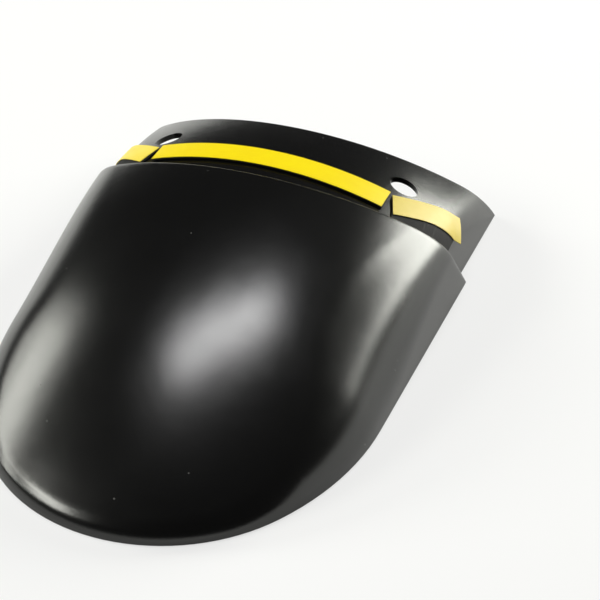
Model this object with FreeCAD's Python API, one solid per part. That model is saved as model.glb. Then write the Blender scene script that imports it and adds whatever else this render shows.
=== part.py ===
import FreeCAD, Part
import math
import os
from FreeCAD import Vector

# Motorcycle mudguard extender: a moulded shell with a stepped-in tongue, and three strips of lined tape.
# The shell lies on its rim, crown up.  +Y runs from the rounded tip to the tongue, +X to the right, +Z up.
# All is first placed from the crown of the step (y = 0) and then moved to the middle of its footprint.

# Driving dimensions of the shell, in millimetres and degrees
BODY_LENGTH = 135.0        # crown of the step to the tip of the rim
RIM_WIDTH = 138.8          # across the rim, abreast of the crown of the step
SIDE_TAPER = 2.55          # lean of each straight side toward the tip
TIP_INSET = 5.04           # how much the plan arc round the tip is smaller than the half width there
CORNER_EXTRA = 34.0        # how much the plan arc toward each straight side is larger than the tip's
CROWN_HEIGHT = 48.1        # rim to crown at the step
TIP_HEIGHT = 4.8           # rim to crown at the tip, before its edge is rounded
SIDE_FALL = 23.56          # fall of the crown's arc from the middle to half the rim's width, crossways
WALL_FLARE = 7.7           # lean of the side walls from upright
FLANK_STEP = 16.9          # straight wall left under the rounded shoulder, at the step
FLANK_SIDE = 3.4           # the same, where the straight side ends
FLANK_CORNER = 3.9         # the same, where the tip arc begins
FLANK_TIP = 2.95           # the same, at the tip
WALL = 2.0                 # shell thickness
STEP_RAKE = 31.0           # lean of the step's face toward the tip
STEP_HEIGHT = 3.4          # from the body's skin down to the tongue's skin
STEP_WEB = 2.5             # thickness of the step's face
STEP_EDGE = 1.6            # rounding of the step's upper edge
TONGUE_LENGTH = 43.1       # step to tongue end, along the crown
END_RAKE = 35.0            # lean of the tongue's end toward the tip

# Driving dimensions of the fixing holes
HOLE_SPACING = 90.0        # centre to centre
HOLE_DIAMETER = 10.0
HOLE_SETBACK = 31.5        # crown of the step to the line of holes

# Driving dimensions of the tape strips
TAPE_WIDTH = 10.0
FOAM_THICKNESS = 0.45
LINER_THICKNESS = 0.2
ADHESIVE = 0.25               # film between tongue and foam, and between foam and liner
CENTRE_STRIP_LENGTH = 86.0
CENTRE_STRIP_SETBACK = 15.0   # crown of the step to the strip's middle line
CENTRE_STRIP_RAKE = 14.0      # lean of the strip's cut toward the tip
SIDE_STRIP_LENGTH = 26.8
SIDE_STRIP_OUT = 13.0         # end of the centre strip to the middle of each side strip, crosswise
SIDE_STRIP_SETBACK = 24.2     # crown of the step to the middle of each side strip
SIDE_STRIP_TURN = 36.5        # turn of each side strip from crosswise to lengthwise
SIDE_STRIP_BIAS = 2.6         # how much farther in its edge by the step begins
TAB_LENGTH = 4.0              # free end of a side liner, past its foam
TAB_LIFT = 5.0                # turn of that free end up from the tongue

# Room round the cutting solids, past the tongue's end and below the rim, and how near counts as touching
MARGIN = 3.0
PAST = 1.0
UNDERCUT = 20.0
FAR = 500.0
TOUCH = 0.01

LEAN = math.radians(SIDE_TAPER)
TIP_HALF = RIM_WIDTH / 2 * math.cos(LEAN) - BODY_LENGTH * math.sin(LEAN)
TIP_RADIUS = (TIP_HALF - TIP_INSET) / (1 - math.sin(LEAN))
CORNER_RADIUS = TIP_RADIUS + CORNER_EXTRA
CROWN_FALL = CROWN_HEIGHT - TIP_HEIGHT
CROWN_RADIUS = ((RIM_WIDTH / 2) ** 2 + SIDE_FALL ** 2) / (2 * SIDE_FALL)
WHEEL_RADIUS = (BODY_LENGTH ** 2 + CROWN_FALL ** 2) / (2 * CROWN_FALL)
AXLE_Z = CROWN_HEIGHT - WHEEL_RADIUS
FLANKS = {"step": FLANK_STEP, "side": FLANK_SIDE, "corner": FLANK_CORNER, "tip": FLANK_TIP}


def tangent(degrees):
    return math.tan(math.radians(degrees))


def crown_z(depth, y):
    """Height of the crown line, for a skin that lies some depth under the body's skin."""
    return AXLE_Z + math.sqrt((WHEEL_RADIUS - depth) ** 2 - y ** 2)


TONGUE_END_Z = crown_z(STEP_HEIGHT, TONGUE_LENGTH)
BACK_REACH = TONGUE_LENGTH + TONGUE_END_Z * tangent(END_RAKE)
TO_MIDDLE = Vector(0, (BODY_LENGTH - BACK_REACH) / 2, 0)


def mirrored(point):
    return Vector(-point.x, point.y, point.z)


def outline(inset, z):
    """U-shaped plan of the rim at height z: tapered sides, corner arcs and a tip arc, all tangent."""
    along = Vector(math.sin(LEAN), math.cos(LEAN), 0)
    inward = Vector(-math.cos(LEAN), math.sin(LEAN), 0)
    tip_centre = Vector(0, TIP_RADIUS - BODY_LENGTH, z)
    to_side = (tip_centre - Vector(RIM_WIDTH / 2, 0, z)).dot(inward)
    past = CORNER_RADIUS - to_side
    up_side = math.sqrt((CORNER_RADIUS - TIP_RADIUS) ** 2 - past ** 2)
    corner_centre = tip_centre + inward * past + along * up_side
    to_join = (tip_centre - corner_centre).normalize()
    tip_r = TIP_RADIUS - inset
    corner_r = CORNER_RADIUS - inset
    side_end = corner_centre - inward * corner_r
    side_start = side_end + along * ((BACK_REACH + MARGIN - side_end.y) / along.y)
    corner_mid = corner_centre + (to_join - inward).normalize() * corner_r
    join = corner_centre + to_join * corner_r
    tip_mid = tip_centre + (to_join + Vector(0, -1, 0)).normalize() * tip_r
    tip = tip_centre + Vector(0, -tip_r, 0)
    pieces = [
        Part.LineSegment(side_start, side_end),
        Part.Arc(side_end, corner_mid, join),
        Part.Arc(join, tip_mid, tip),
        Part.Arc(tip, mirrored(tip_mid), mirrored(join)),
        Part.Arc(mirrored(join), mirrored(corner_mid), mirrored(side_end)),
        Part.LineSegment(mirrored(side_end), mirrored(side_start)),
        Part.LineSegment(mirrored(side_start), side_start),
    ]
    return Part.Wire([piece.toShape() for piece in pieces])


def drafted_block(depth, bottom):
    """The outline drawn up with the walls' flare, its walls some depth inside the body's skin."""
    inset = depth / math.cos(math.radians(WALL_FLARE))
    top = CROWN_HEIGHT + MARGIN
    lower = outline(inset + bottom * tangent(WALL_FLARE), bottom)
    upper = outline(inset + top * tangent(WALL_FLARE), top)
    return Part.makeLoft([lower, upper], True, True)


def crown_barrel(depth):
    """Barrel about the wheel's axle whose skin is the crown, some depth under the body's skin."""
    radius = WHEEL_RADIUS - depth
    arc_radius = CROWN_RADIUS - depth
    half = RIM_WIDTH / 2 + BACK_REACH * tangent(SIDE_TAPER) + MARGIN
    edge = radius - arc_radius + math.sqrt(arc_radius ** 2 - half ** 2)
    left_axle = Vector(-half, 0, AXLE_Z)
    right_axle = Vector(half, 0, AXLE_Z)
    left_edge = Vector(-half, 0, AXLE_Z - edge)
    right_edge = Vector(half, 0, AXLE_Z - edge)
    crown = Part.Arc(left_edge, Vector(0, 0, AXLE_Z - radius), right_edge)
    section = Part.Wire([
        Part.makeLine(left_axle, left_edge),
        crown.toShape(),
        Part.makeLine(right_edge, right_axle),
        Part.makeLine(right_axle, left_axle),
    ])
    return Part.Face(section).revolve(left_axle, Vector(1, 0, 0), 360).toNurbs()


def ahead_of(setback, height, rake):
    """Everything on the tip's side of a raked plane through the crown line at this setback and height."""
    low_y = setback + (height + FAR) * tangent(rake)
    high_y = setback + (height - FAR) * tangent(rake)
    corners = [Vector(-FAR, low_y, -FAR), Vector(-FAR, high_y, FAR)]
    corners += [Vector(-FAR, -2 * FAR, FAR), Vector(-FAR, -2 * FAR, -FAR)]
    face = Part.Face(Part.makePolygon(corners + corners[:1]))
    return face.extrude(Vector(2 * FAR, 0, 0))


def ahead_of_step(shift):
    """Everything ahead of the step's face, moved along the face's normal."""
    move = shift / math.cos(math.radians(STEP_RAKE))
    return ahead_of(move, CROWN_HEIGHT, STEP_RAKE)


def ahead_of_end(shift):
    """Everything ahead of the tongue's end, moved along its normal."""
    move = shift / math.cos(math.radians(END_RAKE))
    return ahead_of(TONGUE_LENGTH + move, TONGUE_END_Z, END_RAKE)


def normal_at(face, point):
    return face.normalAt(*face.Surface.parameter(point))


def has_edge(face, edge):
    return any(edge.isSame(other) for other in face.Edges)


def crown_face(solid):
    return max(solid.Faces, key=lambda face: face.CenterOfMass.z)


def shoulder_edges(solid):
    """The numbered edges between the solid's crown face and its walls."""
    crown = crown_face(solid)
    numbered = [(number, edge) for number, edge in enumerate(solid.Edges, 1) if has_edge(crown, edge)]
    return [pair for pair in numbered if pair[1].Vertexes[0].X * pair[1].Vertexes[-1].X > -TOUCH]


def station(point):
    """The place along the rim where a shoulder's radius is set."""
    if point.y > 0:
        return "step"
    if abs(point.x) < MARGIN:
        return "tip"
    return "side" if point.y > TIP_RADIUS - BODY_LENGTH else "corner"


def sharp_body(depth, shift, bottom):
    """The body with its shoulders still sharp, some depth inside its skin, cut off near the step."""
    block = drafted_block(depth, bottom).common(crown_barrel(depth)).common(ahead_of_step(shift))
    return block.Solids[0]


def shoulder_radii():
    """The shoulder radius at each station that leaves the straight flank of wall named for it."""
    radii = {}
    solid = sharp_body(0, 0, 0)
    crown = crown_face(solid)
    for _, edge in shoulder_edges(solid):
        wall = next(face for face in solid.Faces if has_edge(face, edge) and not face.isSame(crown))
        for vertex in edge.Vertexes:
            place = station(vertex.Point)
            turn = normal_at(crown, vertex.Point).getAngle(normal_at(wall, vertex.Point))
            drop = (vertex.Z - FLANKS[place]) / math.cos(math.radians(WALL_FLARE))
            radii[place] = drop / math.tan(turn / 2)
    return radii


def rounded(solid, radius_at):
    """Round the solid's shoulders, with a radius that runs from end to end of each edge."""
    document = FreeCAD.newDocument()
    source = document.addObject("Part::Feature", "source")
    source.Shape = solid
    fillet = document.addObject("Part::Fillet", "fillet")
    fillet.Base = source
    fillet.Edges = [(number, radius_at(edge.Vertexes[0].Point), radius_at(edge.Vertexes[-1].Point))
                    for number, edge in shoulder_edges(solid)]
    document.recompute()
    shape = fillet.Shape.copy()
    FreeCAD.closeDocument(document.Name)
    return shape.Solids[0]


def body_block(depth, shift, bottom):
    """The body with its shoulders rounded, some depth inside its skin."""
    return rounded(sharp_body(depth, shift, bottom), lambda point: SHOULDERS[station(point)] - depth)


def tongue_block(depth, front, back, bottom):
    """The tongue's run of the same arch, some depth under the body's skin, between two raked planes."""
    block = drafted_block(depth, bottom).common(crown_barrel(depth))
    block = block.common(ahead_of_end(back)).cut(ahead_of_step(front))
    return rounded(block.Solids[0], lambda point: SHOULDERS["step"] - depth)


def in_step_face(edge):
    """True for an edge that lies in the step's face, above the rim."""
    rake = math.radians(STEP_RAKE)
    normal = Vector(0, math.cos(rake), math.sin(rake))
    points = [vertex.Point for vertex in edge.Vertexes] + [edge.CenterOfMass]
    gaps = [abs((point - Vector(0, 0, CROWN_HEIGHT)).dot(normal)) for point in points]
    return max(gaps) < TOUCH and edge.CenterOfMass.z > MARGIN


def extender_shell():
    """Body and tongue as one hollow moulding, joined by the step's face, with the two fixing holes."""
    body = body_block(0, 0, 0)
    body = body.makeFillet(STEP_EDGE, [edge for edge in body.Edges if in_step_face(edge)])
    tongue = tongue_block(STEP_HEIGHT, -STEP_WEB, 0, 0)
    hollow_body = body_block(WALL, -STEP_WEB, -UNDERCUT)
    hollow_tongue = tongue_block(STEP_HEIGHT + WALL, -STEP_WEB, PAST, -UNDERCUT)
    shell = body.fuse(tongue).cut(hollow_body).cut(hollow_tongue)
    for side in (-1, 1):
        foot = Vector(side * HOLE_SPACING / 2, HOLE_SETBACK, 0)
        shell = shell.cut(Part.makeCylinder(HOLE_DIAMETER / 2, CROWN_HEIGHT, foot))
    return shell.removeSplitter().Solids[0]


def skin_at(solid, start, toward):
    """Point and outward normal where a line from outside first meets the solid."""
    inside = solid.common(Part.makeLine(start, toward))
    point = min((vertex.Point for vertex in inside.Vertexes), key=start.distanceToPoint)
    spot = Part.Vertex(point)
    face = min(solid.Faces, key=lambda candidate: candidate.distToShape(spot)[0])
    return point, normal_at(face, point)


def slab(corners, normal, reach):
    """A cutter with these corners, that runs from one reach below them to one reach above."""
    face = Part.Face(Part.makePolygon(corners + corners[:1]))
    return face.translated(normal * -reach).extrude(normal * 2 * reach)


def tape_skin(height):
    """The tongue's arch at some height above its own skin."""
    return tongue_block(STEP_HEIGHT - height, 0, 0, 0)


def foam_under(cutter):
    return FOAM_TOP.common(cutter).cut(FOAM_BASE).Solids[0]


def liner_under(cutter):
    return LINER_TOP.common(cutter).cut(LINER_BASE).Solids[0]


def centre_strip():
    """Foam and liner of the long strip across the crown."""
    rake = math.radians(CENTRE_STRIP_RAKE)
    origin = Vector(0, CENTRE_STRIP_SETBACK, crown_z(STEP_HEIGHT, CENTRE_STRIP_SETBACK))
    along = Vector(CENTRE_STRIP_LENGTH / 2, 0, 0)
    across = Vector(0, math.cos(rake), math.sin(rake)) * (TAPE_WIDTH / 2)
    corners = [origin - along - across, origin + along - across]
    corners += [origin + along + across, origin - along + across]
    cutter = slab(corners, along.cross(across).normalize(), CROWN_HEIGHT)
    return foam_under(cutter), liner_under(cutter)


def side_strip(side):
    """Foam and liner of a short strip that turns down over one shoulder, the liner's end free of it."""
    above = Vector(side * (CENTRE_STRIP_LENGTH / 2 + SIDE_STRIP_OUT), SIDE_STRIP_SETBACK, CROWN_HEIGHT)
    middle, normal = skin_at(FOAM_BASE, above, Vector(above.x, above.y, 0))
    crosswise = (Vector(side, 0, 0) - normal * (normal.x * side)).normalize()
    turn = math.radians(SIDE_STRIP_TURN)
    along = crosswise * math.cos(turn) + normal.cross(crosswise) * (side * math.sin(turn))
    reach = SIDE_STRIP_LENGTH / 2

    def strip_at(distance):
        """Spot, skin normal, run and half width of the strip, some distance along it from its middle."""
        spot = middle + along * distance
        _, lean = skin_at(FOAM_BASE, spot + normal * reach, spot - normal * reach)
        run = (along - lean * lean.dot(along)).normalize()
        return spot, lean, run, lean.cross(run) * (side * TAPE_WIDTH / 2)

    def flat(arrow):
        return arrow - normal * normal.dot(arrow)

    start, _, _, start_half = strip_at(-reach)
    end, lean, run, end_half = strip_at(reach)
    corners = [start - flat(start_half) - along * SIDE_STRIP_BIAS, end - flat(end_half)]
    corners += [end + flat(end_half), start + flat(start_half)]
    cutter = slab(corners, normal, reach)
    liner = liner_under(cutter)
    end_face = max(liner.Faces, key=lambda face: face.CenterOfMass.dot(along))
    lift = math.radians(TAB_LIFT)
    tab = end_face.extrude((run * math.cos(lift) + lean * math.sin(lift)) * TAB_LENGTH)
    return foam_under(cutter), liner.fuse(tab).removeSplitter().Solids[0]


SHOULDERS = shoulder_radii()
FOAM_BASE = tape_skin(ADHESIVE)
FOAM_TOP = tape_skin(ADHESIVE + FOAM_THICKNESS)
LINER_BASE = tape_skin(2 * ADHESIVE + FOAM_THICKNESS)
LINER_TOP = tape_skin(2 * ADHESIVE + FOAM_THICKNESS + LINER_THICKNESS)

nodes = {"extender_shell": extender_shell()}
nodes["foam_tape_centre"], nodes["liner_centre"] = centre_strip()
nodes["foam_tape_left"], nodes["liner_left"] = side_strip(-1)
nodes["foam_tape_right"], nodes["liner_right"] = side_strip(1)

os.makedirs("parts", exist_ok=True)
for name, solid in nodes.items():
    placed = solid.translated(TO_MIDDLE)
    placed.exportStep("parts/" + name + ".step")
    box = placed.optimalBoundingBox()
    print(name, placed.isValid(), round(placed.Volume), "mm3", [round(v, 2) for v in (
        box.XMin, box.XMax, box.YMin, box.YMax, box.ZMin, box.ZMax)])
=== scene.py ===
# %% [markdown]
# A motorcycle mudguard extender: one moulded black shell and three strips of lined foam tape.  The
# solids are made elsewhere, at real size, and come in here as a fixed frame.  This lesson dresses them:
# it gives each surface a finish, works over the shell's skin and the side foams, and sets up light and
# camera.

# %% Load the frame
import math
import bmesh
import bpy
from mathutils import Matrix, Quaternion, Vector
from mathutils.bvhtree import BVHTree
from mathutils.kdtree import KDTree


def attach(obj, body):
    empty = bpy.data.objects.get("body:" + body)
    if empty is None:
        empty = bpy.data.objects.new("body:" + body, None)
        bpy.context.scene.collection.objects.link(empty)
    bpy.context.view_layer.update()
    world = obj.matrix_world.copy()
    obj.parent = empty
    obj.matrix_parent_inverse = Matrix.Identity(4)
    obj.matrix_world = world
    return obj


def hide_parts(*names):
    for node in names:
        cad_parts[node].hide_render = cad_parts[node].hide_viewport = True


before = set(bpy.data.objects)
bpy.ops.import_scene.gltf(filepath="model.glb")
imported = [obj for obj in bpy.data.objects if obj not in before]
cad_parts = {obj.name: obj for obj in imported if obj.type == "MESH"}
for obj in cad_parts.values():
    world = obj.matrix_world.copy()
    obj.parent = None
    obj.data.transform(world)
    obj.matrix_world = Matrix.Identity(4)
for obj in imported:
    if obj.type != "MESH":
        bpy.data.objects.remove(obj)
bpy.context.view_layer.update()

scene = bpy.context.scene
print("nodes:", sorted(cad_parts))


# %% [markdown]
# Every finish below is a small graph of shader nodes.  A few helpers keep those graphs readable: they
# fill in a node's plain numbers, add a node, join two sockets, start a node group with named sockets,
# and do sums.  A group is built once and then placed in each material with that material's own values.

# %% Helpers for shader graphs
def fill(node, values):
    """Set a node's plain values.  An underscore in a name stands for a space in the socket's label."""
    for name, value in values.items():
        node.inputs[name.replace("_", " ")].default_value = value


def add(tree, kind, settings=None, **values):
    node = tree.nodes.new(kind)
    for name, value in (settings or {}).items():
        setattr(node, name, value)
    fill(node, values)
    return node


def join(tree, source, target):
    tree.links.new(source, target)


def new_group(name, inputs, outputs):
    tree = bpy.data.node_groups.new(name, "ShaderNodeTree")
    for label, default in inputs:
        socket = tree.interface.new_socket(label, in_out="INPUT", socket_type="NodeSocketFloat")
        socket.default_value = default
    for label in outputs:
        tree.interface.new_socket(label, in_out="OUTPUT", socket_type="NodeSocketFloat")
    return tree, tree.nodes.new("NodeGroupInput"), tree.nodes.new("NodeGroupOutput")


def math_node(tree, operation, first, second):
    """The result of a Math node whose two inputs are sockets."""
    node = add(tree, "ShaderNodeMath", {"operation": operation})
    join(tree, first, node.inputs[0])
    join(tree, second, node.inputs[1])
    return node.outputs["Value"]


print("graph helpers ready")


# %% [markdown]
# Grain is the fine, even roughness that a spark-eroded mould leaves in plastic, that foam has in its
# cells and that paper has in its fibres.  It could be a bitmap, but noise in the object's own
# coordinates needs no unwrapping and keeps its real size: its scale is in cells per metre.  The group
# gives a height for a bump and a slow cloud that shifts the gloss a little from place to place.

# %% Grain group
def make_grain():
    tree, entry, leave = new_group(
        "grain", [("Scale", 1000.0), ("Cloud Scale", 40.0)], ["Height", "Cloud"])
    place = add(tree, "ShaderNodeTexCoord")
    fine = add(tree, "ShaderNodeTexNoise", Detail=3.0, Roughness=0.6)
    cloud = add(tree, "ShaderNodeTexNoise", Detail=4.0, Roughness=0.55)
    for noise, scale in ((fine, "Scale"), (cloud, "Cloud Scale")):
        join(tree, place.outputs["Object"], noise.inputs["Vector"])
        join(tree, entry.outputs[scale], noise.inputs["Scale"])
    join(tree, fine.outputs["Fac"], leave.inputs["Height"])
    join(tree, cloud.outputs["Fac"], leave.inputs["Cloud"])
    return tree


grain = make_grain()
print("group:", grain.name, "with", len(grain.nodes), "nodes")


# %% [markdown]
# Dust shows on black plastic as a few pale specks.  Scattering real flecks would add thousands of tiny
# meshes, so the specks are a mask: a Voronoi pattern has one round spot per cell, and a random number
# per cell decides whether that cell's spot is there at all.

# %% Dust group
def make_dust():
    tree, entry, leave = new_group(
        "dust", [("Scale", 300.0), ("Share", 0.05), ("Spot", 0.12)], ["Mask"])
    place = add(tree, "ShaderNodeTexCoord")
    cells = add(tree, "ShaderNodeTexVoronoi")
    join(tree, place.outputs["Object"], cells.inputs["Vector"])
    join(tree, entry.outputs["Scale"], cells.inputs["Scale"])
    chance = add(tree, "ShaderNodeSeparateColor")
    join(tree, cells.outputs["Color"], chance.inputs["Color"])
    near = math_node(tree, "LESS_THAN", cells.outputs["Distance"], entry.outputs["Spot"])
    chosen = math_node(tree, "LESS_THAN", chance.outputs["Red"], entry.outputs["Share"])
    join(tree, math_node(tree, "MULTIPLY", near, chosen), leave.inputs["Mask"])
    return tree


dust = make_dust()
print("group:", dust.name, "with", len(dust.nodes), "nodes")


# %% [markdown]
# A material starts the same way each time: a Principled shader with its plain numbers set on its own
# sockets, then the groups, then the few nodes that turn a mask into a colour, a gloss or a bump.

# %% Helpers for materials
def new_material(name, **values):
    material = bpy.data.materials.new(name)
    material.use_nodes = True
    tree = material.node_tree
    shader = tree.nodes["Principled BSDF"]
    fill(shader, values)
    return material, tree, shader


def place_group(tree, group, **values):
    return add(tree, "ShaderNodeGroup", {"node_tree": group}, **values)


def spread(tree, source, low, high):
    """Turn a 0 to 1 value into a run from low to high."""
    node = add(tree, "ShaderNodeMapRange", To_Min=low, To_Max=high)
    join(tree, source, node.inputs["Value"])
    return node.outputs["Result"]


def tint(tree, mask, first, second):
    """Mix from a first colour to a second by a mask."""
    node = add(tree, "ShaderNodeMix", {"data_type": "RGBA"})
    join(tree, mask, node.inputs["Factor"])
    colours = [socket for socket in node.inputs if socket.type == "RGBA"]
    for socket, colour in zip(colours, (first, second)):
        socket.default_value = colour
    return [socket for socket in node.outputs if socket.type == "RGBA"][0]


def bump(tree, shader, height, strength, distance):
    node = add(tree, "ShaderNodeBump", Strength=strength, Distance=distance)
    join(tree, height, node.inputs["Height"])
    join(tree, node.outputs["Normal"], shader.inputs["Normal"])


print("material helpers ready")


# %% [markdown]
# The shell is black ABS from a finely eroded mould: satin, so that a lamp shows as a broad soft glow
# and never as a mirror image.  The base is close to black.  The gloss drifts a little with the cloud,
# the grain is a bump of a few hundredths of a millimetre, and a pale grey shows where a speck of dust
# lies.

# %% Shell plastic
PLASTIC_BLACK = (0.0012, 0.0012, 0.0011, 1.0)
DUST_GREY = (0.10, 0.10, 0.095, 1.0)


def make_plastic():
    material, tree, shader = new_material("satin_black", IOR=1.6)
    texture = place_group(tree, grain, Scale=2300.0, Cloud_Scale=35.0)
    specks = place_group(tree, dust, Scale=260.0, Share=0.06, Spot=0.08)
    join(tree, tint(tree, specks.outputs["Mask"], PLASTIC_BLACK, DUST_GREY), shader.inputs["Base Color"])
    join(tree, spread(tree, texture.outputs["Cloud"], low=0.19, high=0.27), shader.inputs["Roughness"])
    bump(tree, shader, texture.outputs["Height"], strength=0.6, distance=0.00004)
    return material


plastic = make_plastic()
print("material:", plastic.name, "with", len(plastic.node_tree.nodes), "nodes")


# %% [markdown]
# The foam under the liners is closed-cell, black and quite dull.  Its cells are larger than the
# plastic's grain, so the same group is placed with a coarser scale and a deeper bump.

# %% Tape foam
FOAM_BLACK = (0.010, 0.010, 0.010, 1.0)


def make_foam():
    material, tree, shader = new_material("foam_black", IOR=1.45)
    texture = place_group(tree, grain, Scale=1400.0, Cloud_Scale=120.0)
    specks = place_group(tree, dust, Scale=500.0, Share=0.05, Spot=0.10)
    join(tree, tint(tree, specks.outputs["Mask"], FOAM_BLACK, DUST_GREY), shader.inputs["Base Color"])
    join(tree, spread(tree, texture.outputs["Cloud"], low=0.75, high=0.95), shader.inputs["Roughness"])
    bump(tree, shader, texture.outputs["Height"], strength=0.8, distance=0.0002)
    return material


foam = make_foam()
print("material:", foam.name, "with", len(foam.node_tree.nodes), "nodes")


# %% [markdown]
# The liner is a yellow paper with a silicone face, so it has a strong colour under a soft sheen.  Its
# dye is a little uneven: the cloud moves the colour between a clear and a deeper yellow.  Each strip
# has a pair of yellows of its own, and the differences between the strips are painted light.  The side
# strips' yellows carry more blue, a painted sheen, and the right strip, which faces the strongest lamp,
# has its yellows darkened as painted shade.

# %% Tape liner
LINER_YELLOWS_WITH_PAINTED_LIGHT = {   # the clear yellow and the deeper one
    "centre": ((0.90, 0.73, 0.002, 1.0), (0.84, 0.63, 0.001, 1.0)),
    # the side strips' extra blue is a painted sheen; the right strip's darker yellows are painted shade
    "left": ((0.92, 0.74, 0.07, 1.0), (0.85, 0.65, 0.04, 1.0)),
    "right": ((0.66, 0.525, 0.075, 1.0), (0.60, 0.45, 0.045, 1.0)),
}


def make_liner(place, clear, deep):
    material, tree, shader = new_material("liner_yellow_painted_light_" + place, IOR=1.45)
    texture = place_group(tree, grain, Scale=900.0, Cloud_Scale=160.0)
    join(tree, tint(tree, texture.outputs["Cloud"], clear, deep), shader.inputs["Base Color"])
    join(tree, spread(tree, texture.outputs["Cloud"], low=0.34, high=0.46), shader.inputs["Roughness"])
    bump(tree, shader, texture.outputs["Height"], strength=0.25, distance=0.00004)
    return material


liners = {place: make_liner(place, *yellows) for place, yellows in LINER_YELLOWS_WITH_PAINTED_LIGHT.items()}
print("materials:", [material.name for material in liners.values()])


# %% [markdown]
# The tape's solids take their finishes.  Their material slots are emptied first, because the frame
# gives each one a plain stand-in.  The side foams are dressed along with the rest, so that the wider
# copies made of them further on have their finish too.

# %% Dress the tape
finishes = {}
for place, material in liners.items():
    finishes["foam_tape_" + place] = foam
    finishes["liner_" + place] = material

for name, material in finishes.items():
    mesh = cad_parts[name].data
    mesh.materials.clear()
    mesh.materials.append(material)
print("dressed:", sorted(finishes))


# %% [markdown]
# The shell's solid comes in as patches, each with normals of its own, so a glow that crosses the seam
# between two patches breaks there.  A moulding has no seams: its crown runs into the shoulders, and its
# rounded edges and inner corners are soft.  So the skin will be a copy of the shell with better
# normals.  Its long edges are divided first, so that there are points enough, and then each point's
# normal becomes the mean of the normals round it.  A normal that points quite another way, past a true
# edge, doesn't count, so edges stay crisp.

# %% Even out the normals
LONGEST_EDGE = 0.003
DIVISIONS = 5
EVEN_REACH = 0.0025
TRUE_EDGE = math.radians(35.0)


def divided(source):
    """A form with the source's faces, its long edges divided, and each point's first normal."""
    form = bmesh.new()
    form.from_mesh(source)
    first = form.verts.layers.float_vector.new("first_normal")
    form.verts.ensure_lookup_table()
    for loop, normal in zip(source.loops, source.corner_normals):
        form.verts[loop.vertex_index][first] = normal.vector
    for _ in range(DIVISIONS):
        long_edges = [edge for edge in form.edges if edge.calc_length() > LONGEST_EDGE]
        bmesh.ops.subdivide_edges(form, edges=long_edges, cuts=1, use_grid_fill=False)
        bmesh.ops.triangulate(form, faces=[face for face in form.faces if len(face.verts) > 3])
    form.verts.index_update()
    normals = [point[first].normalized() for point in form.verts]
    return form, normals


def evened(form, normals):
    """The mean of the normals round each point, the nearer and the larger faces counting for more."""
    tree = KDTree(len(form.verts))
    for point in form.verts:
        tree.insert(point.co, point.index)
    tree.balance()
    areas = [sum(face.calc_area() for face in point.link_faces) for point in form.verts]
    least = math.cos(TRUE_EDGE)
    means = []
    for point in form.verts:
        own = normals[point.index]
        total = own * areas[point.index]
        for _, index, distance in tree.find_range(point.co, EVEN_REACH):
            if normals[index].dot(own) > least:
                total += normals[index] * (areas[index] * (1.0 - distance / EVEN_REACH))
        means.append(total.normalized())
    return means


print("normals are evened over", EVEN_REACH, "m")


# %% [markdown]
# Round the tip the edge is rolled over.  From its foot up, the outer wall leans in a little more than
# the solid's does, most at one height and then less again, and its normals turn up.  The roll is whole
# at the very tip and fades out along the sides.  Only points that face away from the tip's centre take
# part.

# %% Roll the tip's edge
TIP_CENTRE = Vector((0.0, -0.040))
FACES_OUT = 0.3
ROLL_WHOLE_Y, ROLL_NONE_Y = -0.088, -0.066
ROLL_DEPTH = 0.00075
ROLL_FOOT_Z, ROLL_DEEPEST_Z, ROLL_END_Z = 0.0006, 0.0040, 0.0080
TURNED_Z = 0.0050
TURN_AT_FOOT, TURN_AT_TOP = math.radians(8.0), math.radians(46.0)


def share(value, start, end):
    """How far the value has come on its way from start to end, from 0 to 1."""
    return min(max((value - start) / (end - start), 0.0), 1.0)


def ease(value, start, end):
    """The same with a soft start and a soft end."""
    part = share(value, start, end)
    return part * part * (3.0 - 2.0 * part)


def rolled(place, normal):
    """The place and the normal that the rolled edge gives a point of the skin."""
    level = Vector(normal.xy)
    outward = (place.xy - TIP_CENTRE).normalized()
    if normal.z < 0.0 or level.length == 0.0 or level.normalized().dot(outward) < FACES_OUT:
        return place.copy(), normal
    whole = share(place.y, ROLL_NONE_Y, ROLL_WHOLE_Y)
    hollow = ease(place.z, ROLL_FOOT_Z, ROLL_DEEPEST_Z) - ease(place.z, ROLL_DEEPEST_Z, ROLL_END_Z)
    moved = place - outward.to_3d() * (ROLL_DEPTH * whole * hollow)
    height = share(place.z, ROLL_FOOT_Z, TURNED_Z)
    now = math.asin(min(normal.z, 1.0))
    lift = now + whole * max(TURN_AT_FOOT + height * (TURN_AT_TOP - TURN_AT_FOOT) - now, 0.0)
    level = level.normalized() * math.cos(lift)
    return moved, Vector((level.x, level.y, math.sin(lift)))


print("the wall leans in by up to", ROLL_DEPTH, "m")


# %% [markdown]
# With both steps ready, the skin is made.  It takes the shell's place in the picture, and the solid
# itself stays as it came.

# %% Make the shell's skin
def make_skin(source):
    form, normals = divided(source)
    normals = evened(form, normals)
    for point in form.verts:
        point.co, normals[point.index] = rolled(point.co, normals[point.index])
    for face in form.faces:
        face.smooth = True
    mesh = bpy.data.meshes.new("shell_skin")
    form.to_mesh(mesh)
    form.free()
    mesh.normals_split_custom_set_from_vertices(normals)
    mesh.materials.append(plastic)
    skin = bpy.data.objects.new("shell_skin", mesh)
    scene.collection.objects.link(skin)
    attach(skin, "root")
    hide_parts("extender_shell")
    return skin


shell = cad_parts["extender_shell"].data
skin = make_skin(shell)
print("skin:", len(skin.data.vertices), "points,", len(skin.data.polygons), "faces")


# %% [markdown]
# In front of each side liner the photograph shows a dark band, as far as the step.  A copy of each side
# foam gets its front edge moved up close to the step, so that the black foam covers that band; the step,
# seen from the side, is a straight line that leans.  Each moved point is laid back on the tongue at the
# height that it had, so the foam stays as thick as it was.  Points are told by their place, because
# patches don't share points.

# %% Widen the side foams
STEP_Y = 0.0317351
STEP_Z = 0.0481
STEP_SLOPE = math.tan(math.radians(31.0))
STEP_CLEARANCE = 0.0015
FACES_FRONT = -0.6
PLACE_DIGITS = 6


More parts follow.
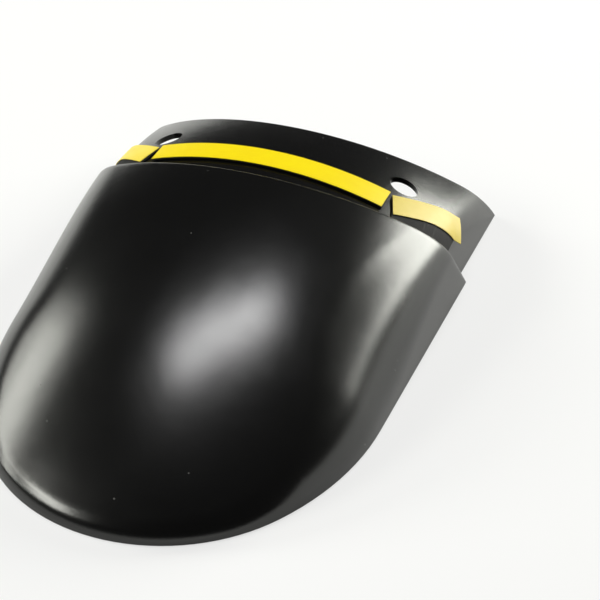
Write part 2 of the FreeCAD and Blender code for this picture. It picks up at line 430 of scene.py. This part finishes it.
def spot(place):
    return tuple(round(value, PLACE_DIGITS) for value in place)


def widen_foam(side, ground):
    node = "foam_tape_" + side
    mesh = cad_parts[node].data.copy()
    mesh.name = "foam_wide_" + side
    front = set()
    for face in mesh.polygons:
        if face.normal.y < FACES_FRONT:
            front.update(spot(mesh.vertices[index].co) for index in face.vertices)
    for point in mesh.vertices:
        if spot(point.co) not in front:
            continue
        height = ground.find_nearest(point.co)[3]
        behind = point.co.y - STEP_Y - (STEP_Z - point.co.z) * STEP_SLOPE
        ahead = point.co - Vector((0.0, max(behind - STEP_CLEARANCE, 0.0), 0.0))
        under, up = ground.find_nearest(ahead)[:2]
        point.co = under + up * height
    mesh.update()
    piece = bpy.data.objects.new(mesh.name, mesh)
    scene.collection.objects.link(piece)
    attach(piece, "root")
    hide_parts(node)
    print("widened:", piece.name, "with", len(front), "front points")


shell_points = [point.co for point in shell.vertices]
shell_faces = [face.vertices for face in shell.polygons]
ground = BVHTree.FromPolygons(shell_points, shell_faces)
for side in ("left", "right"):
    widen_foam(side, ground)


# %% [markdown]
# The part lies on a white table: one wide plain sheet just under the rim.  A table lit like the part
# would show a deep shadow and an uneven white.  So the sheet lights the part as plain white, and the
# camera sees it as part white and part glow, which keeps the shadow but makes it faint.

# %% Table
TABLE_WHITE = (0.93, 0.93, 0.93, 1.0)
TABLE_SEEN = (0.35, 0.35, 0.35, 1.0)
TABLE_GLOW = (0.555, 0.555, 0.555, 1.0)
NO_GLOW = (0.0, 0.0, 0.0, 1.0)
TABLE_HALF = 6.0
TABLE_Z = -0.0002


def make_table():
    corners = [(x * TABLE_HALF, y * TABLE_HALF, TABLE_Z) for x, y in ((-1, -1), (1, -1), (1, 1), (-1, 1))]
    mesh = bpy.data.meshes.new("table")
    mesh.from_pydata(corners, [], [(0, 1, 2, 3)])
    material, tree, shader = new_material("table_white", Roughness=0.9, Emission_Strength=1.0)
    rays = add(tree, "ShaderNodeLightPath")
    seen = rays.outputs["Is Camera Ray"]
    join(tree, tint(tree, seen, TABLE_WHITE, TABLE_SEEN), shader.inputs["Base Color"])
    join(tree, tint(tree, seen, NO_GLOW, TABLE_GLOW), shader.inputs["Emission Color"])
    mesh.materials.append(material)
    table = bpy.data.objects.new("table", mesh)
    scene.collection.objects.link(table)


make_table()
print("table at z =", TABLE_Z)


# %% [markdown]
# Four soft boxes light the studio.  Satin black shows little but their glow, so each stands where its
# glow falls as in the photograph: one overhead for the crown, one behind on the right for the right
# shoulder, one low on the left for the left shoulder, and a small one nearer the front for the rolled
# edge of the tip.  The room itself is nearly dark.

# %% Light
AIM = Vector((0.0, 0.0, 0.03))
BOX_DISTANCE = 1.3
WARM = (0.99, 1.0, 0.92)
PLAIN = (1.0, 1.0, 1.0)
BOXES = {   # degrees round, above the table and of its own turn, width and height in metres, watts, tint
    "box_top": (102.4, 78.9, 25.4, 0.654, 0.266, 7.4, PLAIN),
    "box_right": (54.2, 16.0, -40.7, 0.636, 0.818, 20.0, WARM),
    "box_left": (180.0, 25.0, 69.0, 0.340, 0.800, 8.2, WARM),
    "box_front": (217.0, 31.0, 0.0, 0.500, 0.270, 6.4, WARM),
}
ROOM_GREY = (0.045, 0.045, 0.045, 1.0)


def make_box(name, around, above, turn, width, height, watts, colour):
    lamp = bpy.data.lights.new(name, "AREA")
    lamp.shape = "RECTANGLE"
    lamp.size, lamp.size_y = width, height
    lamp.energy = watts
    lamp.color = colour
    box = bpy.data.objects.new(name, lamp)
    level = math.cos(math.radians(above))
    away = Vector((level * math.cos(math.radians(around)), level * math.sin(math.radians(around)),
                   math.sin(math.radians(above))))
    box.location = AIM + away * BOX_DISTANCE
    spin = Quaternion((0.0, 0.0, 1.0), math.radians(turn))
    box.rotation_euler = (away.to_track_quat("Z", "Y") @ spin).to_euler()
    scene.collection.objects.link(box)


for name, values in BOXES.items():
    make_box(name, *values)
world = bpy.data.worlds.new("room")
world.use_nodes = True
world.node_tree.nodes["Background"].inputs["Color"].default_value = ROOM_GREY
scene.world = world
scene.view_settings.view_transform = "Standard"
print("lamps:", sorted(BOXES))


# %% [markdown]
# The camera stands to the right of the tip and looks down on the crown.  Its place, its two angles and
# its long lens were found by laying the part's outline over the photograph.

# %% Camera
CAMERA_PLACE = (0.2010, -0.4696, 0.4098)
CAMERA_DOWN = 37.65
CAMERA_TURN = 20.10
LENS = 114.0

lens = bpy.data.cameras.new("camera")
lens.lens = LENS
camera = bpy.data.objects.new("camera", lens)
camera.location = CAMERA_PLACE
camera.rotation_euler = (math.radians(90.0 - CAMERA_DOWN), 0.0, math.radians(CAMERA_TURN))
scene.collection.objects.link(camera)
scene.camera = camera
print("camera at", CAMERA_PLACE)
